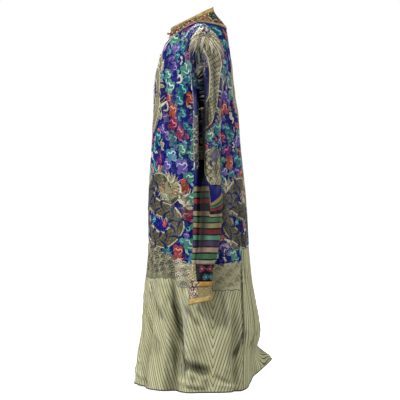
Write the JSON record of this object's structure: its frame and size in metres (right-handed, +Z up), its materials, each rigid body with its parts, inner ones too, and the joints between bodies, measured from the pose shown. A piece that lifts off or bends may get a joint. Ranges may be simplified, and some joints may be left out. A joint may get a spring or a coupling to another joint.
{
  "type": "chinese dragon robe",
  "caption": "Hollow worn silk dragon robe with a right-over closing, gold-edged neck band, banded sleeves, horse-hoof cuffs and a wave-patterned flared skirt with vents",
  "frame": {"origin": "between the shoulders at the height of the band on the shoulders, where the wearer holds the robe up", "axes": "+Z up, the wearer faces -Y, the wearer's left is at +X"},
  "size_m": [0.686, 0.4968, 1.3598],
  "materials": {
    "ground_silk": "navy silk satin covered with gold and coloured silk work",
    "band_silk": "dark patterned silk",
    "gold_thread": "gold thread weave",
    "striped_silk": "coloured silk stripes parted by black",
    "black_silk": "black silk with flowers",
    "cord_silk": "silk cord"
  },
  "bodies": {
    "root": {"left_half": "ground_silk", "right_half": "ground_silk", "outer_right_front": "ground_silk", "closing_band": "band_silk", "closing_piping": "gold_thread", "neck_band": "band_silk", "neck_binding": "gold_thread", "neck_piping": "gold_thread", "left_plain_sleeve": "ground_silk", "left_striped_sleeve": "striped_silk", "left_flower_band": "black_silk", "left_cuff": "gold_thread", "left_cuff_top_edge": "gold_thread", "left_cuff_end_edge": "gold_thread", "right_plain_sleeve": "ground_silk", "right_striped_sleeve": "striped_silk", "right_flower_band": "black_silk", "right_cuff": "gold_thread", "right_cuff_top_edge": "gold_thread", "right_cuff_end_edge": "gold_thread", "toggle_1_loop": "cord_silk", "toggle_1_tab": "cord_silk", "toggle_1_knob": "gold_thread", "toggle_2_loop": "cord_silk", "toggle_2_tab": "cord_silk", "toggle_2_knob": "gold_thread", "toggle_3_loop": "cord_silk", "toggle_3_tab": "cord_silk", "toggle_3_knob": "gold_thread", "toggle_4_loop": "cord_silk", "toggle_4_tab": "cord_silk", "toggle_4_knob": "gold_thread", "toggle_5_loop": "cord_silk", "toggle_5_tab": "cord_silk", "toggle_5_knob": "gold_thread"}
  },
  "joints": []
}
